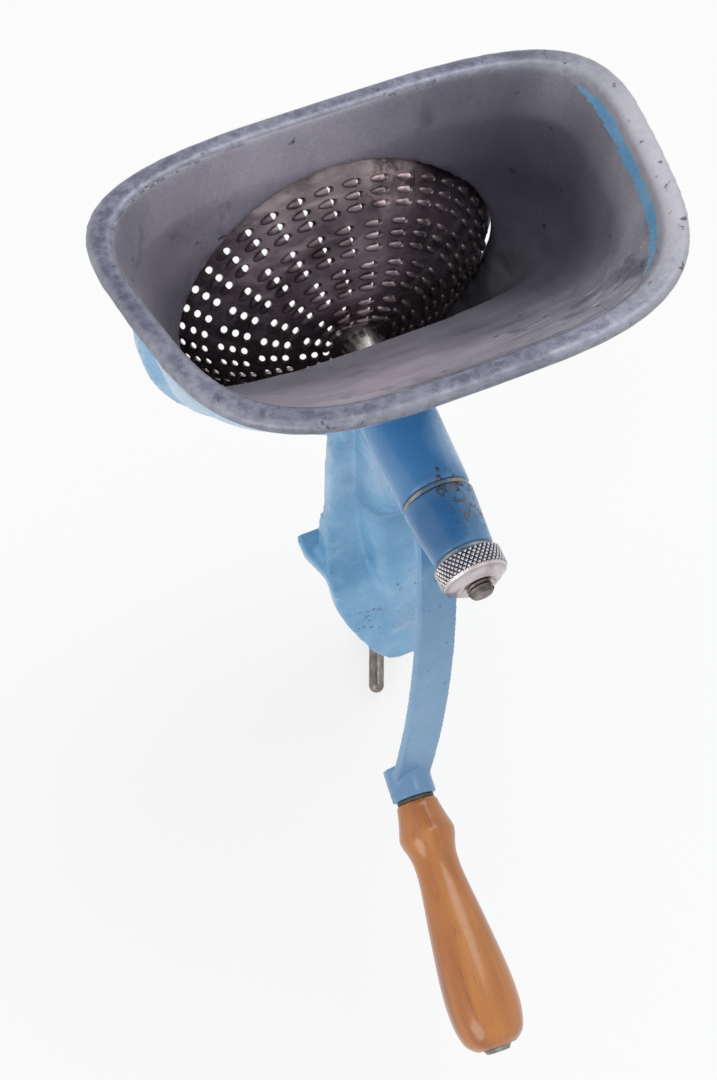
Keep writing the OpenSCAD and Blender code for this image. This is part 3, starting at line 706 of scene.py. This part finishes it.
# %% Clamp screw
low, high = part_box("clamp_screw")
FOOT, TOP = low[2] / MM, high[2] / MM
HEAD = 12
BAR_TURN = 23
screw_line = [(0, 0), (6.2, 0), (7.5, 1.2), (7.5, HEAD - 1.2), (6.4, HEAD), (4.5, HEAD + 0.6),
              (4.5, TOP - FOOT - 5), (3.4, TOP - FOOT - 5), (3.4, TOP - FOOT - 0.4),
              (3.0, TOP - FOOT), (0, TOP - FOOT)]
screw = turned(screw_line, 48)
bmesh.ops.transform(screw, matrix=shift(0, SCREW_Y, FOOT), verts=screw.verts)
screw_mesh = bpy.data.meshes.new("screw_blank")
screw.to_mesh(screw_mesh)
screw.free()
blank = bpy.data.objects.new("screw_blank", screw_mesh)
drill = bmesh.new()
bmesh.ops.create_cone(drill, cap_ends=True, segments=32, radius1=3.82 * MM, radius2=3.82 * MM, depth=0.04)
bmesh.ops.transform(drill, matrix=shift(0, SCREW_Y, FOOT + HEAD / 2) @ turn(-BAR_TURN, "Z") @ turn(90, "X"),
                    verts=drill.verts)
drill_mesh = bpy.data.meshes.new("drill")
drill.to_mesh(drill_mesh)
drill.free()
drill_piece = bpy.data.objects.new("drill", drill_mesh)
bpy.context.collection.objects.link(blank)
bpy.context.collection.objects.link(drill_piece)
cut = blank.modifiers.new("hole", "BOOLEAN")
cut.operation = "DIFFERENCE"
cut.object = drill_piece
drilled = bpy.data.meshes.new_from_object(blank.evaluated_get(bpy.context.evaluated_depsgraph_get()))
bpy.data.objects.remove(blank)
bpy.data.objects.remove(drill_piece)
screw = bmesh.new()
screw.from_mesh(drilled)
bmesh.ops.transform(screw, matrix=shift(0, -SCREW_Y, -FOOT), verts=screw.verts)
add_thread(screw, 4.5, 5.0, HEAD + 1.5, TOP - FOOT - HEAD - 8, 1.5)
settle("threaded_screw", screw, steel, "screw", ["clamp_screw"], shift(0, SCREW_Y, FOOT), 30)

# %% [markdown]
# Small parts
# Bushes, washers, the drum with its nut and hub, and the clamp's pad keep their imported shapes, because
# those are right. They only need their metal.

# %% Small parts
FINISH_OF = {
    "bush_front": bronze, "bush_rear": bronze, "drum": sheet, "drum_hub": bright_steel,
    "drum_washer": steel, "drum_nut": steel, "thrust_washer": steel, "hub_washer": steel,
    "grip_pin": steel, "grip_washer": dark_steel, "clamp_pad": steel, "pad_clip": steel,
    "tommy_bar": worn_steel,
}
for node, finish in FINISH_OF.items():
    for socket in nodes[node].material_slots:
        socket.material = finish.material
print("dressed as packed:", len(FINISH_OF))

# %% [markdown]
# Floor and light
# The photograph has a bright white background and soft light from all round, a little stronger from
# above and the right. The world does most of the work. What the camera or a gloss sees of the floor and
# the world is close to plain white, and the floor still darkens a little under the mill.

# %% Floor and light
floor_bm = bmesh.new()
bmesh.ops.create_grid(floor_bm, x_segments=1, y_segments=1, size=6)
bmesh.ops.translate(floor_bm, vec=(0, 0, cad_box[0][2] - 0.002), verts=floor_bm.verts)
floor_mesh = bpy.data.meshes.new("floor")
floor_bm.to_mesh(floor_mesh)
floor_bm.free()
floor = bpy.data.objects.new("floor", floor_mesh)
bpy.context.collection.objects.link(floor)
white = Finish("white_floor", roughness=0.9)
white.shader.inputs["Base Color"].default_value = (0.93, 0.93, 0.935, 1)
white.shader.inputs["Specular IOR Level"].default_value = 0.1
floor_mesh.materials.append(white.material)


def seen_directly(tree):
    """1 for what the camera, a gloss or glass shows, and 0 for light that falls on the mill."""
    path = tree.nodes.new("ShaderNodeLightPath")
    total = path.outputs["Is Camera Ray"]
    for name in ("Is Glossy Ray", "Is Transmission Ray"):
        either = tree.nodes.new("ShaderNodeMath")
        either.operation = "MAXIMUM"
        tree.links.new(total, either.inputs[0])
        tree.links.new(path.outputs[name], either.inputs[1])
        total = either.outputs["Value"]
    return total


glow = white.node("ShaderNodeEmission", {"Strength": 1.0})
share = white.maths("MULTIPLY", seen_directly(white.tree), 0.7)
blend = white.node("ShaderNodeMixShader", {0: share, 1: white.shader.outputs["BSDF"],
                                           2: glow.outputs["Emission"]})
white.tree.links.new(blend.outputs["Shader"], white.tree.nodes["Material Output"].inputs["Surface"])

world = bpy.data.worlds.new("white_room")
bpy.context.scene.world = world
world.use_nodes = True
tree = world.node_tree
background = tree.nodes["Background"]
background.inputs["Color"].default_value = (1, 1, 1, 1)
level = tree.nodes.new("ShaderNodeMapRange")
level.inputs["To Min"].default_value = 0.7
level.inputs["To Max"].default_value = 1.0
tree.links.new(seen_directly(tree), level.inputs["Value"])
tree.links.new(level.outputs["Result"], background.inputs["Strength"])


def lamp(name, place, aim, size, watts):
    data = bpy.data.lights.new(name, "AREA")
    data.size = size
    data.energy = watts
    made = bpy.data.objects.new(name, data)
    made.location = place
    made.rotation_euler = (Vector(aim) - Vector(place)).to_track_quat("-Z", "Y").to_euler()
    bpy.context.collection.objects.link(made)


lamp("overhead", (0.5, 0.3, 1.3), (0, 0, 0.1), 0.9, 6)
lamp("left_front", (-1.1, -0.8, 0.6), (0, -0.05, 0.05), 0.7, 4)
bpy.context.scene.view_settings.view_transform = "Standard"
